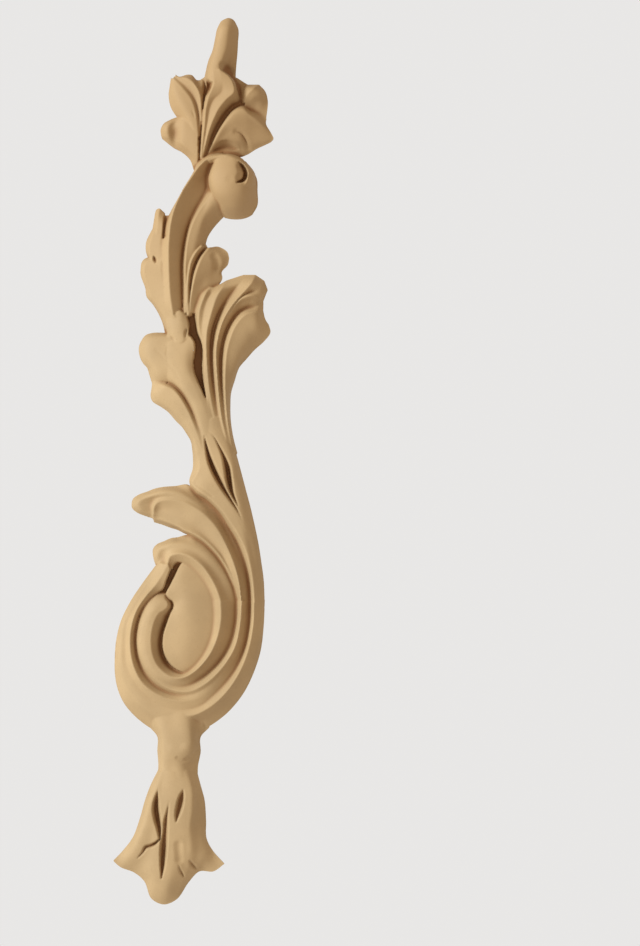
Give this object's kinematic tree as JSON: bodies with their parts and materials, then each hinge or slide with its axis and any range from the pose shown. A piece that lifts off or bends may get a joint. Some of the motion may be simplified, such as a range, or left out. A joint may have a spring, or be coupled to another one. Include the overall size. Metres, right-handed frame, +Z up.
{
  "type": "wood applique",
  "caption": "Tall one-sided carved wood applique: leaf lobes over a scroll, a fluted fan, an oval cartouche wrapped by leaf tips, and a hanging bell flower, with a flat back for gluing.",
  "frame": {"origin": "a point of the flat back, behind the stem at mid height", "axes": "+Z up the applique to its tip, +X to the right seen from the front; the carving faces -Y and the flat back faces +Y on Y = 0"},
  "size_m": [0.047, 0.0119, 0.2798],
  "materials": {
    "wood": "bare, matt, fine sanded"
  },
  "bodies": {
    "root": {"applique": "wood"}
  },
  "joints": []
}
